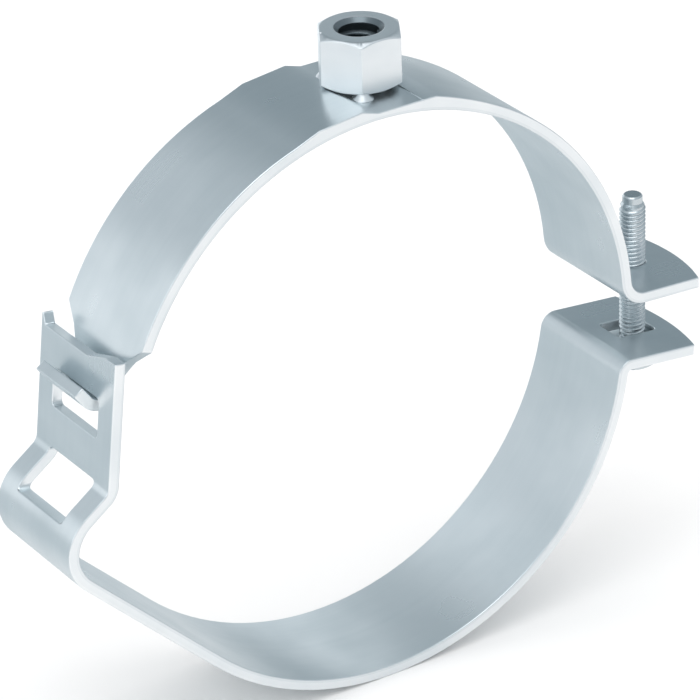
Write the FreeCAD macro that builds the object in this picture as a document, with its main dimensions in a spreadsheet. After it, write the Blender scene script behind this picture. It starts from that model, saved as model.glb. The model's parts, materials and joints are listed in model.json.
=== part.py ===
"""Hinged pipe clamp of zinc-plated strip steel, drawn slightly open as it comes off the shelf.

The upper band carries a hexagonal connection socket, projection-welded on a coined flat, and ends in a
hook on the left and an ear on the right. The lower band hangs by its windowed plate on that hook and is
drawn up by one screw, which turns in the tapped boss of the upper ear. The strip runs in the XZ plane and
the pipe lies along Y, with the origin at the centre of the upper ring, midway across the strip.
"""
import FreeCAD, Part
import math
import os
import Sketcher

# Driving sizes in millimetres and degrees. The name says what is measured; x, y and z are places.
SIZES = {
    # The pipe and the strip that both bands are bent from
    "pipe_radius": 62.5,
    "strip_thickness": 2.5,
    "strip_width": 30.0,
    # Connection socket, measured across its flats, on three weld projections; the head has its chamfer too
    "socket_flats": 17.0,
    "socket_height": 12.0,
    "socket_bore_radius": 4.25,
    "socket_lead_radius": 5.35,
    "socket_face_radius": 8.1,
    "hex_chamfer_angle": 30.0,
    "socket_x": 5.1,
    "weld_gap": 0.9,
    "weld_radius": 1.3,
    "weld_circle_radius": 7.9,
    # Coined flat under the socket, with the strip pressed up beside it
    "flat_depth": 0.85,
    "flat_ramp_top_x": -4.2,
    "flat_ramp_foot_x": -0.3,
    "flat_end_x": 16.5,
    "left_lip_heel_x": -20.5,
    "left_lip_crest_x": -14.8,
    "left_lip_crest_height": 0.7,
    "left_lip_edge_height": 0.42,
    "right_lip_radius": 84.0,
    "right_lip_angle": 60.0,
    "right_lip_start_x": 10.8,
    # Hook and its narrow neck
    "hook_z": 17.43,
    "hook_radius": 2.8,
    "hook_tip_angle": 216.0,
    "hook_tip_length": 3.4,
    "neck_width": 16.0,
    # Shoulders, measured along the strip from where it leaves the ring, and across it
    "shoulder_bearing": 22.0,
    "shoulder_start": 2.5,
    "shoulder_root": -1.3,
    "shoulder_root_width": 21.6,
    "shoulder_end": -5.5,
    # Ears, which share the screw; standoffs and overhangs are measured from the pipe and from the screw
    "screw_standoff": 13.4,
    "upper_ear_z": 1.8,
    "upper_ear_droop": 2.75,
    "upper_ear_bend": 4.0,
    "upper_ear_overhang": 10.2,
    "upper_tip_radius": 40.0,
    "boss_depth": 2.1,
    "boss_root_radius": 7.8,
    "boss_face_radius": 5.6,
    "lower_ear_z": 0.9,
    "lower_ear_rise": 1.5,
    "lower_ear_bend": 1.0,
    "lower_ear_overhang": 9.5,
    "lower_tip_radius": 49.0,
    "ear_trim": 2.0,
    "crop_allowance": 1.5,
    "slot_length": 10.2,
    "slot_width": 8.0,
    "slot_offset": 1.4,
    "corner_radius": 1.0,
    # Plate, belly and windows of the lower band, in that band's own upright frame
    "plate_standoff": 6.1,
    "plate_top_z": 24.4,
    "plate_bend_radius": 3.0,
    "slope_angle": 42.5,
    "belly_standoff": 4.1,
    "belly_z": -17.5,
    "belly_radius": 8.2,
    "window_side_clearance": 1.2,
    "bar_top_z": 22.1,
    "bar_bottom_z": 14.3,
    "window_bottom_z": 5.4,
    "lower_window_top_z": -4.0,
    "lower_window_bottom_z": -12.7,
    "notch_front_foot_y": -3.5,
    "notch_front_crest_y": -11.0,
    "notch_back_foot_y": 13.5,
    "notch_back_crest_y": 14.5,
    # How far the clamp stands open, and how the plate's bar lies in the hook
    "open_angle": 6.6,
    "hinge_clearance": 0.75,
    "bar_offset": 0.1,
    # Clamping screw and its captive washer
    "screw_radius": 2.95,
    "thread_clearance": 0.05,
    "screw_top_z": 18.3,
    "dog_radius": 2.25,
    "dog_length": 1.8,
    "dog_chamfer": 0.35,
    "cone_length": 1.0,
    "head_flats": 10.0,
    "head_height": 4.0,
    "head_face_radius": 4.7,
    "washer_radius": 7.0,
    "washer_thickness": 1.5,
    "washer_bore_clearance": 0.05,
    "washer_gap": 0.3,
}

doc = FreeCAD.newDocument("pipe_clamp")
sheet = doc.addObject("Spreadsheet::Sheet", "size")
for row, (alias, value) in enumerate(SIZES.items(), start=1):
    sheet.set(f"A{row}", alias.replace("_", " "))
    sheet.set(f"B{row}", str(value))
    sheet.setAlias(f"B{row}", alias)
doc.recompute()


def worked_out(alias, formula):
    """Add a cell that follows from the driving sizes."""
    row = len(SIZES) + 2 + len(derived)
    derived.append(alias)
    sheet.set(f"A{row}", alias.replace("_", " "))
    sheet.set(f"B{row}", "=" + formula)
    sheet.setAlias(f"B{row}", alias)


derived = []
worked_out("half_width", "strip_width / 2")
worked_out("ring_radius", "pipe_radius + strip_thickness")
worked_out("crop_half_width", "half_width + crop_allowance")
worked_out("seat_z", "ring_radius - flat_depth")
worked_out("lip_root_z", "seat_z - strip_thickness / 2")
worked_out("lip_edge_z", "sqrt(ring_radius ^ 2 - flat_ramp_top_x ^ 2) + left_lip_edge_height")
worked_out("screw_x", "pipe_radius + screw_standoff")
worked_out("upper_ear_tip_x", "screw_x + upper_ear_overhang")
worked_out("lower_ear_tip_x", "screw_x + lower_ear_overhang")
worked_out("plate_x", "-pipe_radius - plate_standoff")
worked_out("belly_x", "-pipe_radius - belly_standoff")
# The hook bends straight out of the ring, so its centre lies one outside radius off the pipe
worked_out("hook_x", "-sqrt((ring_radius + hook_radius) ^ 2 - hook_z ^ 2)")
# The lower band turns about the hook's centre; the pivot is that point in the band's own frame
worked_out("pivot_x", "plate_x + strip_thickness / 2 - bar_offset")
worked_out("pivot_z", "bar_bottom_z + hook_radius - hinge_clearance")
worked_out("window_half_width", "neck_width / 2 + window_side_clearance")
# The lower ear is slotted where the open band meets the screw
worked_out("reach", "screw_x - hook_x")
worked_out("ear_drop", "pivot_z - lower_ear_z")
worked_out("slot_x", "pivot_x + (reach + ear_drop * sin(open_angle)) / cos(open_angle) - slot_offset")
# The washer lies flat, so the drooping ear of the open band stands over its outer edge first
worked_out("ear_slope", "open_angle - lower_ear_rise")
worked_out("ear_top_z", "hook_z - (slot_x - pivot_x) * sin(open_angle) - ear_drop * cos(open_angle)")
worked_out("washer_overhang", "washer_radius + slot_offset * cos(open_angle)")
worked_out("ear_foot_z", "ear_top_z - washer_overhang * tan(ear_slope) - strip_thickness / cos(ear_slope)")
worked_out("washer_top_z", "ear_foot_z - washer_gap")
worked_out("head_top_z", "washer_top_z - washer_thickness")
worked_out("shank_length", "screw_top_z - head_top_z")
worked_out("socket_top", "weld_gap + socket_height")
doc.recompute()


def number(formula):
    """Value of a formula whose names are cells of the sheet."""
    return float(sheet.evalExpression(formula))


def linked(formula):
    """The same formula as another object reads it, with each cell named through its sheet."""
    words = []
    word = ""
    for mark in formula + " ":
        if mark.isalnum() or mark == "_":
            word += mark
            continue
        known = word in SIZES or word in derived
        words.append("size." + word if known else word)
        words.append(mark)
        word = ""
    return "".join(words).strip()


def plane_of(body, role):
    """One of the three planes through a body's own origin."""
    return next(part for part in body.Origin.OriginFeatures if part.Role == role)


def new_body(name):
    body = doc.addObject("PartDesign::Body", name)
    body.Label = name
    return body


def new_sketch(body, name, role, height="0", across="0", tilt="0"):
    """Sketch on an origin plane, lifted off it, shifted along its first direction and tilted about it."""
    sketch = body.newObject("Sketcher::SketchObject", name)
    sketch.AttachmentSupport = (plane_of(body, role), [""])
    sketch.MapMode = "FlatFace"
    sketch.setExpression("AttachmentOffset.Base.x", linked(across))
    sketch.setExpression("AttachmentOffset.Base.z", linked(height))
    if tilt != "0":
        turn = FreeCAD.Rotation(FreeCAD.Vector(1, 0, 0), number(tilt))
        sketch.AttachmentOffset = FreeCAD.Placement(FreeCAD.Vector(), turn)
        sketch.setExpression("AttachmentOffset.Rotation.Angle", linked(tilt))
    return sketch


def bind(sketch, kind, where, formula):
    """Add a measured constraint and tie it to the sheet."""
    start = number(formula)
    if kind == "Angle":
        start = math.radians(start)
    index = sketch.addConstraint(Sketcher.Constraint(kind, *where, start))
    sketch.setExpression(f"Constraints[{index}]", linked(formula))


def pin(sketch, where, x, y):
    """Tie a point of a sketch to its place, measured from the sketch's origin."""
    bind(sketch, "DistanceX", (-1, 1, *where), x)
    bind(sketch, "DistanceY", (-1, 1, *where), y)


def tangent(sketch, first, second):
    sketch.addConstraint(Sketcher.Constraint("Tangent", *first, *second))


def coincident(sketch, first, second):
    sketch.addConstraint(Sketcher.Constraint("Coincident", *first, *second))


def at(x, y):
    return FreeCAD.Vector(x, y, 0)


def polar(centre, radius, degrees):
    angle = math.radians(degrees)
    return at(centre[0] + radius * math.cos(angle), centre[1] + radius * math.sin(angle))


def arc_of(centre, radius, start, end):
    """Arc that runs anticlockwise from one angle to the other, in degrees."""
    circle = Part.Circle(at(*centre), FreeCAD.Vector(0, 0, 1), radius)
    return Part.ArcOfCircle(circle, math.radians(start), math.radians(end))


def polygon(sketch, corners):
    """Closed outline through corners, each a pair of formulas."""
    places = [at(number(x), number(y)) for x, y in corners]
    first = sketch.GeometryCount
    for index, place in enumerate(places):
        sketch.addGeometry(Part.LineSegment(place, places[(index + 1) % len(places)]), False)
    for index, (x, y) in enumerate(corners):
        coincident(sketch, (first + index, 2), (first + (index + 1) % len(corners), 1))
        pin(sketch, (first + index, 1), x, y)


def disc(sketch, x, y, radius):
    """Circle with its centre and radius given as formulas."""
    circle = Part.Circle(at(number(x), number(y)), FreeCAD.Vector(0, 0, 1), number(radius))
    index = sketch.addGeometry(circle, False)
    pin(sketch, (index, 3), x, y)
    bind(sketch, "Radius", (index,), radius)


def hexagon(sketch, flats, turned="0"):
    """Regular hexagon round the sketch's origin, by its width across flats."""
    corner = f"({flats}) / 2 / cos(30)"
    polygon(sketch, [(f"{corner} * cos({60 * k} + {turned})", f"{corner} * sin({60 * k} + {turned})")
                     for k in range(6)])


def window(sketch, low, high, radius):
    """Rectangle with rounded corners between two corners given as formulas."""
    r = number(radius)
    x0, y0 = number(low[0]), number(low[1])
    x1, y1 = number(high[0]), number(high[1])
    sides = [(at(x0 + r, y0), at(x1 - r, y0)), (at(x1, y0 + r), at(x1, y1 - r)),
             (at(x1 - r, y1), at(x0 + r, y1)), (at(x0, y1 - r), at(x0, y0 + r))]
    rounds = [(x1 - r, y0 + r, -90), (x1 - r, y1 - r, 0), (x0 + r, y1 - r, 90), (x0 + r, y0 + r, 180)]
    for start, end in sides:
        sketch.addGeometry(Part.LineSegment(start, end), False)
    for x, y, angle in rounds:
        sketch.addGeometry(arc_of((x, y), r, angle, angle + 90), False)
    for side in range(4):
        corner = 4 + side
        tangent(sketch, (side, 2), (corner, 1))
        tangent(sketch, (corner, 2), ((side + 1) % 4, 1))
        sketch.addConstraint(Sketcher.Constraint("Vertical" if side % 2 else "Horizontal", side))
        bind(sketch, "Radius", (corner,), radius)
    bind(sketch, "DistanceY", (-1, 1, 0, 1), low[1])
    bind(sketch, "DistanceX", (-1, 1, 1, 1), high[0])
    bind(sketch, "DistanceY", (-1, 1, 2, 1), high[1])
    bind(sketch, "DistanceX", (-1, 1, 3, 1), low[0])


def pad(body, sketch, name, length, symmetric=False):
    feature = body.newObject("PartDesign::Pad", name)
    feature.Profile = sketch
    feature.setExpression("Length", linked(length))
    if symmetric:
        feature.SideType = "Symmetric"
    doc.recompute()
    return feature


def pocket(body, sketch, name, side):
    """Cut right through on one side of the sketch's plane, or on both sides."""
    before = body.Shape.Volume
    feature = body.newObject("PartDesign::Pocket", name)
    feature.Profile = sketch
    feature.Type = "ThroughAll"
    if side == "both":
        feature.SideType = "Symmetric"
    feature.Reversed = side == "ahead"
    doc.recompute()
    if not body.Shape.Volume < before:
        raise ValueError(f"{name} cuts nothing")
    return feature


def turned_profile(body, sketch, name, kind):
    """Revolution or groove of a sketch about its own vertical axis."""
    feature = body.newObject("PartDesign::" + kind, name)
    feature.Profile = sketch
    feature.ReferenceAxis = (sketch, ["V_Axis"])
    feature.Angle = 360.0
    doc.recompute()
    return feature


def strip_face(sketch, bends, side, lead, tail):
    """One face of a bent strip, as tangent arcs with straight runs between them.

    bends holds (centre, inside radius, turn, start angle, end angle); turn and side are 1 for left and -1
    for right, seen along the strip. Returns each piece as (index, start point, end point, bend number).
    """
    thickness = number("strip_thickness")
    arcs = []
    for centre, inside, turn, start, end in bends:
        radius = inside if turn == side else inside + thickness
        entry, leave = polar(centre, radius, start), polar(centre, radius, end)
        arcs.append((centre, radius, turn, start, end, entry, leave))
    pieces = []

    def run(start, end):
        if start.distanceToPoint(end) > 1e-6:
            pieces.append((sketch.addGeometry(Part.LineSegment(start, end), False), 1, 2, None))

    def heading(arc, angle):
        return polar((0, 0), 1, angle + 90 * arc[2])

    first = arcs[0]
    run(first[5] - heading(first, first[3]) * lead, first[5])
    for bend, arc in enumerate(arcs):
        centre, radius, turn, start, end, entry, leave = arc
        if bend:
            run(arcs[bend - 1][6], entry)
        if turn > 0:
            index = sketch.addGeometry(arc_of(centre, radius, start, end), False)
            pieces.append((index, 1, 2, bend))
        else:
            index = sketch.addGeometry(arc_of(centre, radius, end, start), False)
            pieces.append((index, 2, 1, bend))
    last = arcs[-1]
    run(last[6], last[6] + heading(last, last[4]) * tail)
    for before, after in zip(pieces, pieces[1:]):
        tangent(sketch, (before[0], before[2]), (after[0], after[1]))
    return pieces


def strip_outline(sketch, bends, radii, sides, lead, tail):
    """Closed section of a bent strip: the sized face, the face one thickness behind it and two ends."""
    sized = strip_face(sketch, bends, sides[0], lead, tail)
    offset = strip_face(sketch, bends, sides[1], lead, tail)
    ends = []
    for here, there, place in ((sized[0], offset[0], 1), (sized[-1], offset[-1], 2)):
        start = sketch.getPoint(here[0], here[place])
        end = sketch.getPoint(there[0], there[place])
        index = sketch.addGeometry(Part.LineSegment(start, end), False)
        coincident(sketch, (here[0], here[place]), (index, 1))
        coincident(sketch, (there[0], there[place]), (index, 2))
        ends.append(index)
    for piece in sized:
        if piece[3] is not None:
            turn = bends[piece[3]][2]
            extra = "" if turn == sides[0] else " + strip_thickness"
            bind(sketch, "Radius", (piece[0],), radii[piece[3]] + extra)
    # Behind an arc that runs straight into an arc, the tangency already gives the second radius
    follows_arc = False
    for piece, twin in zip(offset, sized):
        if piece[3] is None:
            follows_arc = False
            continue
        coincident(sketch, (piece[0], 3), (twin[0], 3))
        if not follows_arc:
            turn = bends[piece[3]][2]
            extra = "" if turn == sides[1] else " + strip_thickness"
            bind(sketch, "Radius", (piece[0],), radii[piece[3]] + extra)
        follows_arc = True
    for place, end in ((0, ends[0]), (-1, ends[1])):
        sketch.addConstraint(Sketcher.Constraint("Parallel", sized[place][0], offset[place][0]))
        sketch.addConstraint(Sketcher.Constraint("Perpendicular", sized[place][0], end))
    return sized


def round_tip(body, name, tip_x, tip_radius):
    """Crop the end of an ear to a curve in plan."""
    sketch = new_sketch(body, name + "_outline", "XY_Plane")
    radius = number(tip_radius)
    middle = number(f"{tip_x} - {tip_radius}")
    spread = math.degrees(math.asin(number("crop_half_width") / radius))
    curve = sketch.addGeometry(arc_of((middle, 0), radius, -spread, spread), False)
    start = sketch.getPoint(curve, 1)
    end = sketch.getPoint(curve, 2)
    past = number(f"{tip_x} + 2 * ear_trim")
    corners = [end, at(past, end.y), at(past, start.y), start]
    sides = [sketch.addGeometry(Part.LineSegment(a, b), False) for a, b in zip(corners, corners[1:])]
    coincident(sketch, (curve, 2), (sides[0], 1))
    coincident(sketch, (sides[0], 2), (sides[1], 1))
    coincident(sketch, (sides[1], 2), (sides[2], 1))
    coincident(sketch, (sides[2], 2), (curve, 1))
    pin(sketch, (curve, 3), f"{tip_x} - {tip_radius}", "0")
    bind(sketch, "Radius", (curve,), tip_radius)
    bind(sketch, "DistanceY", (-1, 1, curve, 2), "crop_half_width")
    bind(sketch, "DistanceY", (-1, 1, curve, 1), "-crop_half_width")
    bind(sketch, "DistanceX", (-1, 1, sides[1], 1), f"{tip_x} + 2 * ear_trim")
    sketch.addConstraint(Sketcher.Constraint("Horizontal", sides[0]))
    sketch.addConstraint(Sketcher.Constraint("Horizontal", sides[2]))
    sketch.addConstraint(Sketcher.Constraint("Vertical", sides[1]))
    pocket(body, sketch, name, "both")


def corner_chamfer(body, name, flats, face_radius, face_z, into):
    """Turn the corners of a hexagon back to a round face; into is 1 where the metal lies above the face."""
    sketch = new_sketch(body, name + "_profile", "XZ_Plane")
    clear = f"{flats} / 2 / cos(30) + crop_allowance"
    depth = f"({clear} - {face_radius}) * tan(hex_chamfer_angle)"
    slant = f"{face_z} + {into} * {depth}"
    polygon(sketch, [(face_radius, face_z), (clear, face_z), (clear, slant)])
    turned_profile(body, sketch, name, "Groove")


def place(body, x, z, angle="0"):
    """Put a body at (x, 0, z), turned about Y."""
    body.Placement = FreeCAD.Placement(
        FreeCAD.Vector(number(x), 0, number(z)), FreeCAD.Rotation(FreeCAD.Vector(0, 1, 0), number(angle)))
    body.setExpression("Placement.Base.x", linked(x))
    body.setExpression("Placement.Base.z", linked(z))
    body.setExpression("Placement.Rotation.Angle", linked(angle))


# Upper band: hook, neck, half ring and ear, bent from one strip.
upper_band = new_body("upper_band")
hook = (number("hook_x"), number("hook_z"))
hook_bearing = math.degrees(math.atan2(hook[1], hook[0]))
ring_radius, droop = number("ring_radius"), number("upper_ear_droop")
# The ear bend touches the ring from outside and the ear from above
ear_bend = number("upper_ear_bend")
ear_normal = polar((0, 0), 1, 90 - droop)
ear_level = at(number("screw_x"), number("upper_ear_z")).dot(ear_normal) + ear_bend
bend_angle = math.degrees(math.asin(ear_level / (ring_radius + ear_bend))) - droop
ear_centre = polar((0, 0), ring_radius + ear_bend, bend_angle)
ear_run = number("upper_ear_tip_x + ear_trim") - (ear_centre - ear_normal * ear_bend).x
upper_bends = [
    (hook, number("hook_radius"), 1, number("hook_tip_angle"), hook_bearing + 180),
    ((0, 0), number("pipe_radius"), -1, hook_bearing, bend_angle),
    ((ear_centre.x, ear_centre.y), ear_bend, 1, 180 + bend_angle, 270 - droop),
]
upper_radii = ["hook_radius", "pipe_radius", "upper_ear_bend"]
section = new_sketch(upper_band, "upper_section", "XZ_Plane")
faces = strip_outline(section, upper_bends, upper_radii, (1, -1), number("hook_tip_length"),
                      ear_run / math.cos(math.radians(droop)))
coincident(section, (faces[2][0], 3), (-1, 1))
bind(section, "DistanceY", (-1, 1, faces[1][0], 3), "hook_z")
bind(section, "Distance", (faces[0][0],), "hook_tip_length")
bind(section, "Angle", (faces[0][0],), "hook_tip_angle - 270")
bind(section, "Angle", (faces[-1][0],), "-upper_ear_droop")
pin(section, (faces[-1][0], 2), "upper_ear_tip_x + ear_trim",
    "upper_ear_z - (upper_ear_tip_x + ear_trim - screw_x) * tan(upper_ear_droop)")
pad(upper_band, section, "upper_strip", "strip_width", symmetric=True)

# The strip narrows to the neck over shoulders that were cropped before it was bent
shoulders = new_sketch(upper_band, "shoulder_outline", "YZ_Plane", tilt="shoulder_bearing")
for hand in ("", "-"):
    polygon(shoulders, [
        (hand + "strip_width", "-strip_width"),
        (hand + "neck_width / 2", "-strip_width"),
        (hand + "neck_width / 2", "shoulder_end"),
        (hand + "shoulder_root_width / 2", "shoulder_root"),
        (hand + "half_width", "shoulder_start"),
        (hand + "strip_width", "shoulder_start")])
pocket(upper_band, shoulders, "shoulders", "behind")

# Metal pressed up on both sides of the flat, then the flat itself
left_lip = new_sketch(upper_band, "left_lip_outline", "XZ_Plane")
polygon(left_lip, [
    ("left_lip_heel_x", "sqrt(ring_radius ^ 2 - left_lip_heel_x ^ 2)"),
    ("left_lip_crest_x", "sqrt(ring_radius ^ 2 - left_lip_crest_x ^ 2) + left_lip_crest_height"),
    ("flat_ramp_top_x", "lip_edge_z"),
    ("flat_ramp_foot_x", "seat_z"),
    ("flat_ramp_foot_x", "lip_root_z")])
pad(upper_band, left_lip, "left_lip", "strip_width", symmetric=True)
right_lip = new_sketch(upper_band, "right_lip_outline", "XZ_Plane")
lip_radius = number("right_lip_radius")
lip_centre = polar((0, 0), ring_radius - lip_radius, number("right_lip_angle"))
lip_end = math.degrees(math.acos((number("right_lip_start_x") - lip_centre.x) / lip_radius))
lip = right_lip.addGeometry(
    arc_of((lip_centre.x, lip_centre.y), lip_radius, number("right_lip_angle"), lip_end), False)
root = at(number("right_lip_start_x"), number("lip_root_z"))
side = right_lip.addGeometry(Part.LineSegment(right_lip.getPoint(lip, 2), root), False)
chord = right_lip.addGeometry(Part.LineSegment(root, right_lip.getPoint(lip, 1)), False)
coincident(right_lip, (lip, 2), (side, 1))
coincident(right_lip, (side, 2), (chord, 1))
coincident(right_lip, (chord, 2), (lip, 1))
pin(right_lip, (chord, 1), "right_lip_start_x", "lip_root_z")
pin(right_lip, (lip, 3), "(ring_radius - right_lip_radius) * cos(right_lip_angle)",
    "(ring_radius - right_lip_radius) * sin(right_lip_angle)")
bind(right_lip, "Radius", (lip,), "right_lip_radius")
bind(right_lip, "DistanceX", (-1, 1, lip, 1), "ring_radius * cos(right_lip_angle)")
bind(right_lip, "DistanceX", (-1, 1, lip, 2), "right_lip_start_x")
pad(upper_band, right_lip, "right_lip", "strip_width", symmetric=True)
flat = new_sketch(upper_band, "flat_outline", "XZ_Plane")
polygon(flat, [
    ("flat_ramp_top_x", "lip_edge_z"),
    ("flat_ramp_foot_x", "seat_z"),
    ("flat_end_x", "seat_z"),
    ("flat_end_x", "seat_z + 2 * strip_thickness"),
    ("flat_ramp_top_x", "seat_z + 2 * strip_thickness")])
pocket(upper_band, flat, "coined_flat", "both")

# The ear is cropped to a curve, and the screw's boss is drawn out of its underside
round_tip(upper_band, "upper_tip", "upper_ear_tip_x", "upper_tip_radius")
boss = new_sketch(upper_band, "boss_profile", "XZ_Plane", across="screw_x")
polygon(boss, [
    ("0", "upper_ear_z - strip_thickness / 2"),
    ("boss_root_radius", "upper_ear_z - strip_thickness / 2"),
    ("boss_root_radius", "upper_ear_z - strip_thickness"),
    ("boss_face_radius", "upper_ear_z - strip_thickness - boss_depth"),
    ("0", "upper_ear_z - strip_thickness - boss_depth")])
turned_profile(upper_band, boss, "screw_boss", "Revolution")
tapping = new_sketch(upper_band, "tapping_outline", "XY_Plane")
disc(tapping, "screw_x", "0", "screw_radius + thread_clearance")
pocket(upper_band, tapping, "tapped_hole", "both")

# Connection socket, in its own frame: z is 0 on the flat that it is welded to
threaded_socket = new_body("threaded_socket")
outline = new_sketch(threaded_socket, "socket_outline", "XY_Plane", height="weld_gap")
hexagon(outline, "socket_flats")
pad(threaded_socket, outline, "socket_block", "socket_height")
corner_chamfer(threaded_socket, "socket_top_chamfer", "socket_flats", "socket_face_radius", "socket_top", -1)
corner_chamfer(threaded_socket, "socket_foot_chamfer", "socket_flats", "socket_face_radius", "weld_gap", 1)
welds = new_sketch(threaded_socket, "weld_outline", "XY_Plane")
for angle in (-120, 0, 120):
    disc(welds, f"weld_circle_radius * cos({angle})", f"weld_circle_radius * sin({angle})", "weld_radius")
pad(threaded_socket, welds, "weld_projections", "2 * weld_gap")
bore = new_sketch(threaded_socket, "socket_bore_profile", "XZ_Plane")
polygon(bore, [
    ("0", "weld_gap"),
    ("socket_lead_radius", "weld_gap"),
    ("socket_bore_radius", "weld_gap + socket_lead_radius - socket_bore_radius"),
    ("socket_bore_radius", "socket_top - socket_lead_radius + socket_bore_radius"),
    ("socket_lead_radius", "socket_top"),
    ("0", "socket_top")])
turned_profile(threaded_socket, bore, "socket_bore", "Groove")
place(threaded_socket, "socket_x", "seat_z")

# Lower band, drawn in its own upright frame: plate, belly, half ring and ear.
lower_band = new_body("lower_band")
slope, rise = number("slope_angle"), number("lower_ear_rise")
belly = at(number("belly_x"), number("belly_z"))
belly_radius, plate_bend = number("belly_radius"), number("plate_bend_radius")
pipe_radius, thickness = number("pipe_radius"), number("strip_thickness")
# Seen along the strip, each straight run keeps one distance from the arcs at its ends
slope_normal = polar((0, 0), 1, 90 + slope)
slope_level = belly.dot(slope_normal) + belly_radius + thickness + plate_bend
plate_centre_x = number("plate_x") - plate_bend
plate_centre = at(plate_centre_x, (slope_level - plate_centre_x * slope_normal.x) / slope_normal.y)
belly_bearing = math.degrees(math.atan2(belly.y, belly.x)) + 360
ring_start = belly_bearing + math.degrees(math.acos((pipe_radius - belly_radius) / belly.Length))
ear_bend = number("lower_ear_bend")
ear_normal = polar((0, 0), 1, 90 + rise)
foot_z = "lower_ear_z - strip_thickness / cos(lower_ear_rise)"
ear_level = at(number("slot_x"), number(foot_z)).dot(ear_normal) - ear_bend
bend_angle = math.degrees(math.asin(ear_level / (ring_radius + ear_bend))) + rise
ear_centre = polar((0, 0), ring_radius + ear_bend, bend_angle)
ear_run = number("lower_ear_tip_x + ear_trim") - (ear_centre + ear_normal * ear_bend).x
lower_bends = [
    ((plate_centre.x, plate_centre.y), plate_bend, -1, 0, slope - 90),
    ((belly.x, belly.y), belly_radius, 1, 90 + slope, ring_start),
    ((0, 0), pipe_radius, 1, ring_start, 360 + bend_angle),
    ((ear_centre.x, ear_centre.y), ear_bend, -1, 180 + bend_angle, 90 + rise),
]
lower_radii = ["plate_bend_radius", "belly_radius", "pipe_radius", "lower_ear_bend"]
section = new_sketch(lower_band, "lower_section", "XZ_Plane")
faces = strip_outline(section, lower_bends, lower_radii, (-1, 1), number("plate_top_z") - plate_centre.y,
                      ear_run / math.cos(math.radians(rise)))
coincident(section, (faces[5][0], 3), (-1, 1))
pin(section, (faces[3][0], 3), "belly_x", "belly_z")
pin(section, (faces[0][0], 1), "plate_x", "plate_top_z")
bind(section, "Angle", (faces[0][0],), "-90")
bind(section, "Angle", (faces[2][0],), "slope_angle - 180")
bind(section, "Angle", (faces[-1][0],), "lower_ear_rise")
pin(section, (faces[-1][0], 2), "lower_ear_tip_x + ear_trim",
    foot_z + " + (lower_ear_tip_x + ear_trim - slot_x) * tan(lower_ear_rise)")
pad(lower_band, section, "lower_strip", "strip_width", symmetric=True)

# The plate's top edge dips between two raised corners, and two windows leave a bar for the hook
top_edge = new_sketch(lower_band, "top_edge_outline", "YZ_Plane")
polygon(top_edge, [
    ("notch_front_foot_y", "bar_top_z"),
    ("notch_back_foot_y", "bar_top_z"),
    ("notch_back_crest_y", "plate_top_z"),
    ("notch_back_crest_y", "plate_top_z + strip_thickness"),
    ("notch_front_crest_y", "plate_top_z + strip_thickness"),
    ("notch_front_crest_y", "plate_top_z")])
pocket(lower_band, top_edge, "top_edge", "behind")
for name, low, high in (("hook_window", "window_bottom_z", "bar_bottom_z"),
                        ("belly_window", "lower_window_bottom_z", "lower_window_top_z")):
    outline = new_sketch(lower_band, name + "_outline", "YZ_Plane")
    window(outline, ("-window_half_width", low), ("window_half_width", high), "corner_radius")
    pocket(lower_band, outline, name, "behind")
round_tip(lower_band, "lower_tip", "lower_ear_tip_x", "lower_tip_radius")
outline = new_sketch(lower_band, "screw_slot_outline", "XY_Plane")
window(outline, ("slot_x - slot_length / 2", "-slot_width / 2"),
       ("slot_x + slot_length / 2", "slot_width / 2"), "corner_radius")
pocket(lower_band, outline, "screw_slot", "both")
# The band hangs by its bar in the hook and stands open by turning about the hook's centre
place(lower_band, "hook_x - pivot_x * cos(open_angle) - pivot_z * sin(open_angle)",
      "hook_z + pivot_x * sin(open_angle) - pivot_z * cos(open_angle)", "open_angle")

# Washer that is held captive under the screw's head
washer = new_body("washer")
outline = new_sketch(washer, "washer_outline", "XY_Plane")
disc(outline, "0", "0", "washer_radius")
disc(outline, "0", "0", "screw_radius + washer_bore_clearance")
pad(washer, outline, "washer_disc", "washer_thickness")
place(washer, "screw_x", "head_top_z")

# Clamping screw with a dog end, in its own frame: z is 0 under the head
clamp_screw = new_body("clamp_screw")
outline = new_sketch(clamp_screw, "head_outline", "XY_Plane", height="-head_height")
hexagon(outline, "head_flats")
pad(clamp_screw, outline, "head", "head_height")
corner_chamfer(clamp_screw, "head_chamfer", "head_flats", "head_face_radius", "-head_height", 1)
shank = new_sketch(clamp_screw, "shank_profile", "XZ_Plane")
polygon(shank, [
    ("0", "-head_height / 2"),
    ("screw_radius", "-head_height / 2"),
    ("screw_radius", "shank_length - dog_length - cone_length"),
    ("dog_radius", "shank_length - dog_length"),
    ("dog_radius", "shank_length - dog_chamfer"),
    ("dog_radius - dog_chamfer", "shank_length"),
    ("0", "shank_length")])
turned_profile(clamp_screw, shank, "shank", "Revolution")
place(clamp_screw, "screw_x", "head_top_z")

doc.recompute()
for item in doc.Objects:
    if "Invalid" in item.State or "Error" in item.State:
        raise ValueError(f"{item.Name} failed: {item.State}")
    if item.TypeId == "Sketcher::SketchObject" and not item.FullyConstrained:
        raise ValueError(f"{item.Name} isn't fully constrained")
os.makedirs("parts", exist_ok=True)
for body in (upper_band, threaded_socket, lower_band, washer, clamp_screw):
    shape = body.Shape
    if shape.isNull() or not shape.isValid() or len(shape.Solids) != 1:
        raise ValueError(f"{body.Label} isn't one valid solid")
    shape.exportStep(f"parts/{body.Label}.step")
    print(body.Label, round(shape.Volume, 1), shape.BoundBox)
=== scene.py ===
import json
import math
import bmesh
import bpy
from mathutils import Matrix, Vector


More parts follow.
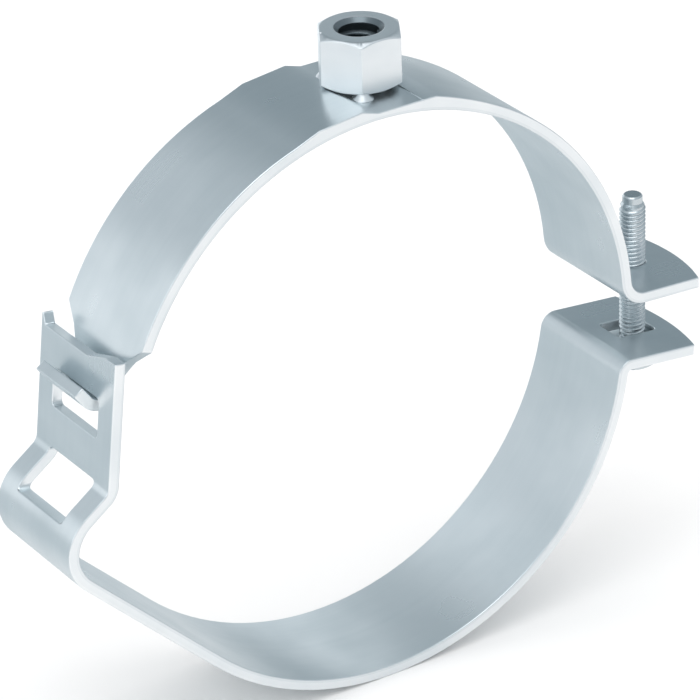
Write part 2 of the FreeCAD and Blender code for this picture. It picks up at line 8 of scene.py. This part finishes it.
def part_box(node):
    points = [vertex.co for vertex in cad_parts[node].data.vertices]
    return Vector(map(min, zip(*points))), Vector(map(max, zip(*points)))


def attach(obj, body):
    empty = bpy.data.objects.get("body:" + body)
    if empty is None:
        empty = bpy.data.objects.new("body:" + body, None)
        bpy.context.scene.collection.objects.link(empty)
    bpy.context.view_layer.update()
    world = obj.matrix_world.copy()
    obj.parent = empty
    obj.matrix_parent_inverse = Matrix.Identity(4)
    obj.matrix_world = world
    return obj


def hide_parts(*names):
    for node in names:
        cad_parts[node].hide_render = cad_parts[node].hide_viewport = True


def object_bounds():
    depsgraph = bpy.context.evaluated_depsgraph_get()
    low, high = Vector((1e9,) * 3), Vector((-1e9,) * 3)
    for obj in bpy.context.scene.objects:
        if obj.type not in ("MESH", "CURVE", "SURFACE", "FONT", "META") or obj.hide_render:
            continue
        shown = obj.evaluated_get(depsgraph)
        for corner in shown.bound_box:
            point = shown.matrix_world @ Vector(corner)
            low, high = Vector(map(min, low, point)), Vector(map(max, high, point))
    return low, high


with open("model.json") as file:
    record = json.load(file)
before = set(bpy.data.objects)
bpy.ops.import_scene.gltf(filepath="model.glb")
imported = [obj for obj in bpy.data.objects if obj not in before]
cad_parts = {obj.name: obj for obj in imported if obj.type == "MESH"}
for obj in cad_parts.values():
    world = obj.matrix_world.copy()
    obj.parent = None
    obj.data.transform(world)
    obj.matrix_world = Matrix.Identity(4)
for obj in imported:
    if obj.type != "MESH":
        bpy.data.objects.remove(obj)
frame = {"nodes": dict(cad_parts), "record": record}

MM = 0.001
cad_box = [list(corner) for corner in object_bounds()]
scene = bpy.context.scene
scene.view_settings.view_transform = "Standard"


# Upper band: a bent length of rolled steel strip, zinc plated after bending. Its long edges were sheared, so
# they are a little duller than the faces towards their middle and on the side where the cut broke through.
RIM_INSET = 0.7 * MM
RIM_FACING = 0.9999
EDGE_ROUND = 0.22 * MM
SHARP = math.radians(32)
FLATNESS = math.radians(0.6)
MERGE = 1e-6
NEAR = 0.03 * MM


def node_in(tree, kind, place, **settings):
    node = tree.nodes.new(kind)
    node.location = place
    for key, value in settings.items():
        setattr(node, key, value)
    return node


def zinc_plate_group():
    """Colour, roughness and height of zinc on rolled steel: soft clouds and fine lines along the strip."""
    group = bpy.data.node_groups.new("zinc_plate", "ShaderNodeTree")
    interface = group.interface
    for name, kind, value in (
            ("Bright", "NodeSocketColor", (0.8, 0.84, 0.87, 1)),
            ("Dull", "NodeSocketColor", (0.66, 0.72, 0.76, 1)),
            ("Line Scale", "NodeSocketVector", (1, 1, 1)),
            ("Polish", "NodeSocketFloat", 0.25)):
        socket = interface.new_socket(name=name, in_out="INPUT", socket_type=kind)
        socket.default_value = value
    interface.new_socket(name="Color", in_out="OUTPUT", socket_type="NodeSocketColor")
    interface.new_socket(name="Roughness", in_out="OUTPUT", socket_type="NodeSocketFloat")
    interface.new_socket(name="Height", in_out="OUTPUT", socket_type="NodeSocketFloat")
    start = node_in(group, "NodeGroupInput", (-900, 0))
    end = node_in(group, "NodeGroupOutput", (700, 0))
    place = node_in(group, "ShaderNodeTexCoord", (-900, 300))
    stretch = node_in(group, "ShaderNodeVectorMath", (-700, -150), operation="MULTIPLY")
    lines = node_in(group, "ShaderNodeTexNoise", (-500, -150))
    lines.inputs["Scale"].default_value = 1.0
    lines.inputs["Detail"].default_value = 1.5
    clouds = node_in(group, "ShaderNodeTexNoise", (-500, 250))
    clouds.inputs["Scale"].default_value = 60.0
    clouds.inputs["Detail"].default_value = 2.5
    grain = node_in(group, "ShaderNodeTexNoise", (-500, 50))
    grain.inputs["Scale"].default_value = 1100.0
    grain.inputs["Detail"].default_value = 1.0
    wide = node_in(group, "ShaderNodeMapRange", (-280, 250))
    wide.inputs["From Min"].default_value = 0.32
    wide.inputs["From Max"].default_value = 0.68
    worn = node_in(group, "ShaderNodeMath", (-280, -50), operation="MULTIPLY")
    worn.inputs[1].default_value = 0.3
    both = node_in(group, "ShaderNodeMath", (-60, 100), operation="MULTIPLY_ADD", use_clamp=True)
    both.inputs[1].default_value = 0.7
    colour = node_in(group, "ShaderNodeMix", (200, 150), data_type="RGBA")
    rough = node_in(group, "ShaderNodeMath", (200, -100), operation="MULTIPLY_ADD")
    rough.inputs[1].default_value = 0.09
    height = node_in(group, "ShaderNodeMath", (200, -300), operation="MULTIPLY_ADD")
    height.inputs[1].default_value = 0.6
    link = group.links.new
    link(place.outputs["Object"], clouds.inputs["Vector"])
    link(place.outputs["Object"], grain.inputs["Vector"])
    link(place.outputs["Object"], stretch.inputs[0])
    link(start.outputs["Line Scale"], stretch.inputs[1])
    link(stretch.outputs["Vector"], lines.inputs["Vector"])
    link(clouds.outputs["Fac"], wide.inputs["Value"])
    link(lines.outputs["Fac"], worn.inputs[0])
    link(wide.outputs["Result"], both.inputs[0])
    link(worn.outputs["Value"], both.inputs[2])
    link(both.outputs["Value"], colour.inputs["Factor"])
    link(start.outputs["Bright"], colour.inputs["A"])
    link(start.outputs["Dull"], colour.inputs["B"])
    link(both.outputs["Value"], rough.inputs[0])
    link(start.outputs["Polish"], rough.inputs[2])
    link(grain.outputs["Fac"], height.inputs[0])
    link(lines.outputs["Fac"], height.inputs[2])
    link(colour.outputs["Result"], end.inputs["Color"])
    link(rough.outputs["Value"], end.inputs["Roughness"])
    link(height.outputs["Value"], end.inputs["Height"])
    return group


zinc_plate = zinc_plate_group()


def zinc_material(name, bright, dull, line_scale, polish, relief):
    """Zinc-plated steel, whose node zinc_plate gives its colour, roughness and height."""
    material = bpy.data.materials.new(name)
    material.use_nodes = True
    tree = material.node_tree
    shader = tree.nodes["Principled BSDF"]
    plate = node_in(tree, "ShaderNodeGroup", (-500, 100), name="zinc_plate", node_tree=zinc_plate)
    plate.inputs["Bright"].default_value = (*bright, 1)
    plate.inputs["Dull"].default_value = (*dull, 1)
    plate.inputs["Line Scale"].default_value = line_scale
    plate.inputs["Polish"].default_value = polish
    bump = node_in(tree, "ShaderNodeBump", (-250, -200))
    bump.inputs["Strength"].default_value = relief
    bump.inputs["Distance"].default_value = 0.02 * MM
    shader.inputs["Metallic"].default_value = 1.0
    tree.links.new(plate.outputs["Color"], shader.inputs["Base Color"])
    tree.links.new(plate.outputs["Roughness"], shader.inputs["Roughness"])
    tree.links.new(plate.outputs["Height"], bump.inputs["Height"])
    tree.links.new(bump.outputs["Normal"], shader.inputs["Normal"])
    return material


strip_steel = zinc_material(
    "strip_steel", bright=(0.81, 0.855, 0.875), dull=(0.68, 0.74, 0.765), line_scale=(18, 700, 18),
    polish=0.26, relief=0.01)


def sheared_rim_material():
    """Edge of the strip, where the piece's own values say how far in from the faces a point lies."""
    material = zinc_material(
        "sheared_rim", bright=(0.96, 0.975, 0.98), dull=(0.83, 0.87, 0.89), line_scale=(200, 60, 200),
        polish=0.32, relief=0.3)
    tree = material.node_tree
    depth = node_in(tree, "ShaderNodeAttribute", (-900, -100), attribute_name="rim_depth")
    torn = node_in(tree, "ShaderNodeAttribute", (-900, -300), attribute_name="torn")
    duller = node_in(tree, "ShaderNodeMath", (-700, -300), operation="MULTIPLY")
    duller.inputs[1].default_value = 0.2
    mark = node_in(tree, "ShaderNodeMath", (-500, -200), operation="MULTIPLY_ADD", use_clamp=True)
    mark.inputs[1].default_value = 0.14
    tone = node_in(tree, "ShaderNodeMix", (-250, 200), data_type="RGBA")
    tone.inputs["B"].default_value = (0.5, 0.57, 0.61, 1)
    link = tree.links.new
    link(torn.outputs["Fac"], duller.inputs[0])
    link(depth.outputs["Fac"], mark.inputs[0])
    link(duller.outputs["Value"], mark.inputs[2])
    link(mark.outputs["Value"], tone.inputs["Factor"])
    link(tree.nodes["zinc_plate"].outputs["Color"], tone.inputs["A"])
    link(tone.outputs["Result"], tree.nodes["Principled BSDF"].inputs["Base Color"])
    return material


sheared_rim = sheared_rim_material()


def merged_copy(node):
    """A piece's solid as one welded surface, with the flat parts of each face joined up."""
    bm = bmesh.new()
    bm.from_mesh(frame["nodes"][node].data)
    bmesh.ops.remove_doubles(bm, verts=bm.verts[:], dist=MERGE)
    bmesh.ops.dissolve_limit(bm, angle_limit=FLATNESS, verts=bm.verts[:], edges=bm.edges[:])
    return bm


def work_rims(bm):
    """Divide the sheared edges lengthwise and mark how deep each point lies and which half was torn."""
    depth = bm.verts.layers.float.new("rim_depth")
    torn = bm.faces.layers.float.new("torn")
    cuts = [face for face in bm.faces if abs(face.normal.y) > RIM_FACING]
    outermost = max(vert.co.y for vert in bm.verts) - NEAR
    rims = [face for face in cuts if all(abs(vert.co.y) > outermost for vert in face.verts)]
    for face in cuts:
        face.material_index = 1
    borders = bmesh.ops.inset_region(
        bm, faces=rims, thickness=RIM_INSET, use_boundary=True, use_even_offset=False)["faces"]
    for face in rims:
        for vert in face.verts:
            vert[depth] = 1.0
    for face in borders:
        face.material_index = 1
        for edge in face.edges:
            for other in edge.link_faces:
                facing = other.normal.dot(other.calc_center_median())
                if other.material_index == 0 and facing < 0:
                    face[torn] = 1.0


def finish_piece(bm, name, node, body, materials, rounding=EDGE_ROUND):
    """Write a piece's mesh, round its edges, and seat it in place of its solid."""
    for face in bm.faces:
        face.smooth = True
    for edge in bm.edges:
        edge.smooth = len(edge.link_faces) == 2 and edge.calc_face_angle(0) < SHARP
    mesh = bpy.data.meshes.new(name)
    bm.to_mesh(mesh)
    bm.free()
    piece = bpy.data.objects.new(name, mesh)
    scene.collection.objects.link(piece)
    for material in materials:
        mesh.materials.append(material)
    bevel = piece.modifiers.new("rounded_edges", "BEVEL")
    bevel.width = rounding
    bevel.segments = 2
    bevel.limit_method = "ANGLE"
    bevel.angle_limit = SHARP
    bevel.use_clamp_overlap = False
    piece.modifiers.new("even_shading", "WEIGHTED_NORMAL").keep_sharp = True
    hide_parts(node)
    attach(piece, body)
    return piece


bm = merged_copy("upper_band")
work_rims(bm)
finish_piece(bm, "upper_band_strip", "upper_band", "upper", (strip_steel, sheared_rim))


# Lower band: the same strip, bent to a plate, a belly, the half ring and an ear. It hangs on the upper band's
# hook by the bar between its two windows, and was plated after bending too.
bm = merged_copy("lower_band")
work_rims(bm)
finish_piece(bm, "lower_band_strip", "lower_band", "lower", (strip_steel, sheared_rim))


# Threaded socket: a hexagonal steel boss with an M10 thread, turned from bar, with chamfered corners. It
# stands on three small projections that were welded to the flat, which leaves a dark gap round them.
SOCKET_PITCH = 1.5 * MM
SOCKET_TURNS = 5
SOCKET_FLANK = 0.4 * MM
SOCKET_BORE = 4.25 * MM
SOCKET_ROOT = 5.0 * MM
SOCKET_LEAD = 5.35 * MM
TOOTH_SINK = 0.06 * MM
TOOTH_BASE = 0.86
TOOTH_CREST = 0.16
STEPS_A_TURN = 48
# Painted shade: colour of the bore's wall and turns, with BORE_EDGE the width over which it fades out at the
# lead
BORE_SHADE_PAINT = (0.18, 0.215, 0.235, 1)
BORE_EDGE = 0.1 * MM
WELDS = 3
WELD_CIRCLE = 7.9 * MM
WELD_SPREAD = 1.9

turned_steel = zinc_material(
    "turned_steel", bright=(0.87, 0.9, 0.915), dull=(0.77, 0.815, 0.84), line_scale=(90, 90, 420),
    polish=0.32, relief=0.02)


def radius_at(co, axis_x):
    """How far a point lies from the upright axis at axis_x."""
    return math.hypot(co.x - axis_x, co.y)


def set_radius(vert, axis_x, radius):
    """Move a point straight in or out to a radius round the upright axis at axis_x."""
    scale = radius / radius_at(vert.co, axis_x)
    vert.co.x = axis_x + (vert.co.x - axis_x) * scale
    vert.co.y *= scale


def add_thread(bm, axis_x, root, crest, pitch, low, turns):
    """Right-hand helical ridge round the upright axis at axis_x, from low upwards; returns its points."""
    back = root - math.copysign(TOOTH_SINK, crest - root)
    middle = low + pitch / 2
    corners = ((back, -TOOTH_BASE / 2), (crest, -TOOTH_CREST / 2), (crest, TOOTH_CREST / 2),
               (back, TOOTH_BASE / 2))
    verts = [bm.verts.new((axis_x + radius, 0, middle + share * pitch)) for radius, share in corners]
    edges = [bm.edges.new((verts[i], verts[i - 1])) for i in range(len(verts))]
    old_faces = set(bm.faces)
    bmesh.ops.spin(
        bm, geom=verts + edges, cent=(axis_x, 0, 0), axis=(0, 0, 1), dvec=(0, 0, pitch / STEPS_A_TURN),
        angle=math.tau * turns, steps=turns * STEPS_A_TURN, use_merge=False, use_duplicate=False)
    ridge = [face for face in bm.faces if face not in old_faces]
    ends = {edge for face in ridge for edge in face.edges if edge.is_boundary}
    bmesh.ops.edgeloop_fill(bm, edges=list(ends))
    ridge = [face for face in bm.faces if face not in old_faces]
    bmesh.ops.recalc_face_normals(bm, faces=ridge)
    return {vert for face in ridge for vert in face.verts}


connection = next(mount for mount in frame["record"]["mounts"] if mount["name"] == "connection_thread")
socket_x, _, socket_middle = connection["pos_m"]
half_bore = connection["dims"]["length_mm"] * MM / 2
# Painted shade: the bore's turns are coloured darker than the outside, standing in for the shade inside the
# bore
steel = turned_steel.node_tree
point = node_in(steel, "ShaderNodeTexCoord", (-1300, 300))
from_axis = node_in(steel, "ShaderNodeVectorMath", (-1100, 300), operation="SUBTRACT")
from_axis.inputs[1].default_value = (socket_x, 0, 0)
level = node_in(steel, "ShaderNodeVectorMath", (-900, 300), operation="MULTIPLY")
level.inputs[1].default_value = (1, 1, 0)
distance = node_in(steel, "ShaderNodeVectorMath", (-700, 300), operation="LENGTH")
bore_shade_mask = node_in(steel, "ShaderNodeMapRange", (-500, 300))
bore_shade_mask.inputs["From Min"].default_value = SOCKET_LEAD + BORE_EDGE
bore_shade_mask.inputs["From Max"].default_value = SOCKET_LEAD - BORE_EDGE
painted_bore_shade = node_in(steel, "ShaderNodeMix", (-250, 300), data_type="RGBA")
painted_bore_shade.inputs["B"].default_value = BORE_SHADE_PAINT
steel.links.new(point.outputs["Object"], from_axis.inputs[0])
steel.links.new(from_axis.outputs["Vector"], level.inputs[0])
steel.links.new(level.outputs["Vector"], distance.inputs[0])
steel.links.new(distance.outputs["Value"], bore_shade_mask.inputs["Value"])
steel.links.new(bore_shade_mask.outputs["Result"], painted_bore_shade.inputs["Factor"])
steel.links.new(steel.nodes["zinc_plate"].outputs["Color"], painted_bore_shade.inputs["A"])
steel.links.new(painted_bore_shade.outputs["Result"], steel.nodes["Principled BSDF"].inputs["Base Color"])

bm = merged_copy("threaded_socket")
weld_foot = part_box("threaded_socket")[0].z
for vert in bm.verts:
    if vert.co.z < weld_foot + NEAR:
        step = math.tau / WELDS
        bearing = round(math.atan2(vert.co.y, vert.co.x - socket_x) / step) * step
        out = WELD_CIRCLE * Vector((math.cos(bearing), math.sin(bearing), 0))
        weld = out + Vector((socket_x, 0, vert.co.z))
        vert.co = weld + (vert.co - weld) * WELD_SPREAD
# Between the lead cones the bore opens to the thread's root, and the turns are set into it
root_low = socket_middle - half_bore + SOCKET_FLANK
root_high = socket_middle + half_bore - SOCKET_FLANK
bore = [face for face in bm.faces
        if all(abs(radius_at(vert.co, socket_x) - SOCKET_BORE) < NEAR for vert in face.verts)]
for height in (root_low, root_high):
    wall = {part for face in bore for part in (face, *face.edges, *face.verts)}
    cut = bmesh.ops.bisect_plane(bm, geom=list(wall), plane_co=(0, 0, height), plane_no=(0, 0, 1))["geom"]
    bore = [part for part in cut if isinstance(part, bmesh.types.BMFace)]
for vert in {vert for face in bore for vert in face.verts}:
    if abs(vert.co.z - socket_middle) < half_bore - SOCKET_FLANK + NEAR:
        set_radius(vert, socket_x, SOCKET_ROOT)
add_thread(bm, socket_x, SOCKET_ROOT, SOCKET_BORE, SOCKET_PITCH, root_low, SOCKET_TURNS)
finish_piece(
    bm, "hexagonal_socket", "threaded_socket", "upper", (turned_steel,), rounding=0.16 * MM)


# Washer: a plain stamped disc that turns freely under the lower ear, held on the screw by the head.
bm = merged_copy("washer")
finish_piece(bm, "captive_washer", "washer", "washer", (turned_steel,), rounding=0.2 * MM)


# Clamping screw: M6 with a rolled thread, a hexagon head below, and a smooth dog end that finds the tapped
# hole in the upper ear. The thread runs from the washer to the cone above it.
SCREW_PITCH = 1.0 * MM
SCREW_CREST = 2.95 * MM
SCREW_ROOT = 2.55 * MM
CONE_LENGTH = 1.0 * MM
DOG_RADIUS = 2.25 * MM
DOG_LENGTH = 1.8 * MM

screw_steel = zinc_material(
    "screw_steel", bright=(0.7, 0.745, 0.77), dull=(0.5, 0.56, 0.59), line_scale=(120, 120, 120),
    polish=0.2, relief=0.1)
bm = merged_copy("clamp_screw")
joints = frame["record"]["behaviour"]["joints"]
screw_x = next(joint for joint in joints if joint["name"] == "screw_turn")["pos_m"][0]
screw_low, screw_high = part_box("clamp_screw")
under_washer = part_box("washer")[0].z
cone_foot = screw_high.z - DOG_LENGTH - CONE_LENGTH
for vert in bm.verts:
    if vert.co.z > under_washer - NEAR and abs(radius_at(vert.co, screw_x) - SCREW_CREST) < NEAR:
        set_radius(vert, screw_x, SCREW_ROOT)
screw_turns = int((cone_foot + CONE_LENGTH - under_washer) / SCREW_PITCH) - 1
for vert in add_thread(bm, screw_x, SCREW_ROOT, SCREW_CREST, SCREW_PITCH, under_washer, screw_turns):
    past = max(vert.co.z - cone_foot, 0) / CONE_LENGTH
    cone = SCREW_CREST - past * (SCREW_CREST - DOG_RADIUS)
    if radius_at(vert.co, screw_x) > cone:
        set_radius(vert, screw_x, cone)
finish_piece(bm, "threaded_screw", "clamp_screw", "screw", (screw_steel,), rounding=0.06 * MM)


# Floor, light and camera: a pale sheet of card under the clamp, soft boxes round it, and the view that the
# photograph was taken from.
FLOOR_SIZE = 6.0

floor_material = bpy.data.materials.new("pale_card")
floor_material.use_nodes = True
card = floor_material.node_tree
floor_shader = card.nodes["Principled BSDF"]
floor_shader.inputs["Roughness"].default_value = 0.9
floor_shader.inputs["Specular IOR Level"].default_value = 0.1
# Behind the clamp its metal sees a greyer card, which keeps the plate and the insides from washing out
on_card = node_in(card, "ShaderNodeTexCoord", (-1000, 0))
along = node_in(card, "ShaderNodeSeparateXYZ", (-800, 0))
behind = node_in(card, "ShaderNodeMapRange", (-600, 0))
behind.inputs["From Min"].default_value = 0.0
behind.inputs["From Max"].default_value = 0.1
reflected = node_in(card, "ShaderNodeMix", (-400, 0), data_type="RGBA")
reflected.inputs["A"].default_value = (0.86, 0.865, 0.87, 1)
reflected.inputs["B"].default_value = (0.51, 0.565, 0.595, 1)
floor_path = node_in(card, "ShaderNodeLightPath", (-600, 300))
card_tone = node_in(card, "ShaderNodeMix", (-200, 0), data_type="RGBA")
card_tone.inputs["A"].default_value = (0.97, 0.97, 0.97, 1)
card.links.new(on_card.outputs["Object"], along.inputs["Vector"])
card.links.new(along.outputs["Y"], behind.inputs["Value"])
card.links.new(behind.outputs["Result"], reflected.inputs["Factor"])
card.links.new(floor_path.outputs["Is Glossy Ray"], card_tone.inputs["Factor"])
card.links.new(reflected.outputs["Result"], card_tone.inputs["B"])
card.links.new(card_tone.outputs["Result"], floor_shader.inputs["Base Color"])
bm = bmesh.new()
bmesh.ops.create_grid(bm, x_segments=1, y_segments=1, size=FLOOR_SIZE / 2)
bmesh.ops.translate(bm, vec=(0, 0, cad_box[0][2]), verts=bm.verts[:])
floor_mesh = bpy.data.meshes.new("floor")
bm.to_mesh(floor_mesh)
bm.free()
floor = bpy.data.objects.new("floor", floor_mesh)
floor_mesh.materials.append(floor_material)
scene.collection.objects.link(floor)


def soft_box(name, place, target, size, radiance):
    """Rectangular lamp that faces a point; radiance is how bright it looks, where 1 is white."""
    lamp = bpy.data.lights.new(name, "AREA")
    lamp.shape = "RECTANGLE"
    lamp.size, lamp.size_y = size
    lamp.energy = math.pi * size[0] * size[1] * radiance
    box = bpy.data.objects.new(name, lamp)
    box.location = place
    box.rotation_euler = (Vector(target) - Vector(place)).to_track_quat("-Z", "Y").to_euler()
    scene.collection.objects.link(box)
    return box


soft_box("overhead_box", (-0.3, -0.35, 1.35), (0, 0, 0), (1.0, 1.0), 1.3)
soft_box("left_box", (-1.3, -0.2, 0.55), (0, 0, 0), (0.8, 0.8), 1.0)
# Two cards behind the clamp that only its own metal sees
for name, place, size, radiance in (
        ("low_card", (0.07, 0.28, 0.05), (0.34, 0.2), 0.62),
        ("side_card", (-0.33, 0.28, 0.1), (0.2, 0.25), 0.42)):
    card_box = soft_box(name, place, (place[0], 0, place[2]), size, radiance)
    card_box.visible_camera = False
    card_box.visible_diffuse = False

# The metal sees a grey studio whose dim side lies behind on the right; the floor and backdrop are lit white
DIM_SIDE = (0.476, 0.747, 0.464)
world = bpy.data.worlds.new("studio")
scene.world = world
world.use_nodes = True
sky = world.node_tree
background = sky.nodes["Background"]
direction = node_in(sky, "ShaderNodeTexCoord", (-1000, 0))
parts = node_in(sky, "ShaderNodeSeparateXYZ", (-800, 100))
shade = node_in(sky, "ShaderNodeValToRGB", (-600, 100))
ramp = shade.color_ramp
ramp.elements[0].position = 0.0
ramp.elements[0].color = (0.5, 0.55, 0.585, 1)
ramp.elements[1].position = 1.0
ramp.elements[1].color = (0.74, 0.785, 0.82, 1)
for position, colour in ((0.25, (0.54, 0.59, 0.625, 1)), (0.5, (0.5, 0.56, 0.6, 1))):
    ramp.elements.new(position).color = colour
towards = node_in(sky, "ShaderNodeVectorMath", (-800, -150), operation="DOT_PRODUCT")
towards.inputs[1].default_value = DIM_SIDE
dimness = node_in(sky, "ShaderNodeMapRange", (-600, -150), interpolation_type="SMOOTHSTEP")
dimness.inputs["From Min"].default_value = 0.72
dimness.inputs["From Max"].default_value = 0.95
dimmed = node_in(sky, "ShaderNodeMix", (-300, 0), data_type="RGBA")
dimmed.inputs["B"].default_value = (0.24, 0.3, 0.335, 1)
path = node_in(sky, "ShaderNodeLightPath", (-600, 400))
seen = node_in(sky, "ShaderNodeMix", (-100, 0), data_type="RGBA")
seen.inputs["A"].default_value = (1, 1, 1, 1)
link = sky.links.new
link(direction.outputs["Generated"], parts.inputs["Vector"])
link(direction.outputs["Generated"], towards.inputs[0])
link(parts.outputs["Z"], shade.inputs["Fac"])
link(towards.outputs["Value"], dimness.inputs["Value"])
link(dimness.outputs["Result"], dimmed.inputs["Factor"])
link(shade.outputs["Color"], dimmed.inputs["A"])
link(path.outputs["Is Glossy Ray"], seen.inputs["Factor"])
link(dimmed.outputs["Result"], seen.inputs["B"])
link(seen.outputs["Result"], background.inputs["Color"])

CAMERA_PLACE = Vector((-464.0, -730.1, 452.0)) * MM
CAMERA_RIGHT = Vector((0.8352, -0.5493, -0.0262))
CAMERA_UP = Vector((0.2747, 0.3754, 0.8852))
CAMERA_LENS = 232.9
CAMERA_SHIFT = (-0.0087, 0.025)

camera_data = bpy.data.cameras.new("camera")
camera_data.lens = CAMERA_LENS
camera_data.sensor_width = 36.0
camera_data.shift_x, camera_data.shift_y = CAMERA_SHIFT
camera_data.clip_start = 0.01
camera = bpy.data.objects.new("camera", camera_data)
right = CAMERA_RIGHT.normalized()
back = right.cross(CAMERA_UP).normalized()
turned = Matrix((right, back.cross(right), back)).transposed().to_4x4()
camera.matrix_world = Matrix.Translation(CAMERA_PLACE) @ turned
scene.collection.objects.link(camera)
scene.camera = camera

bpy.context.view_layer.update()
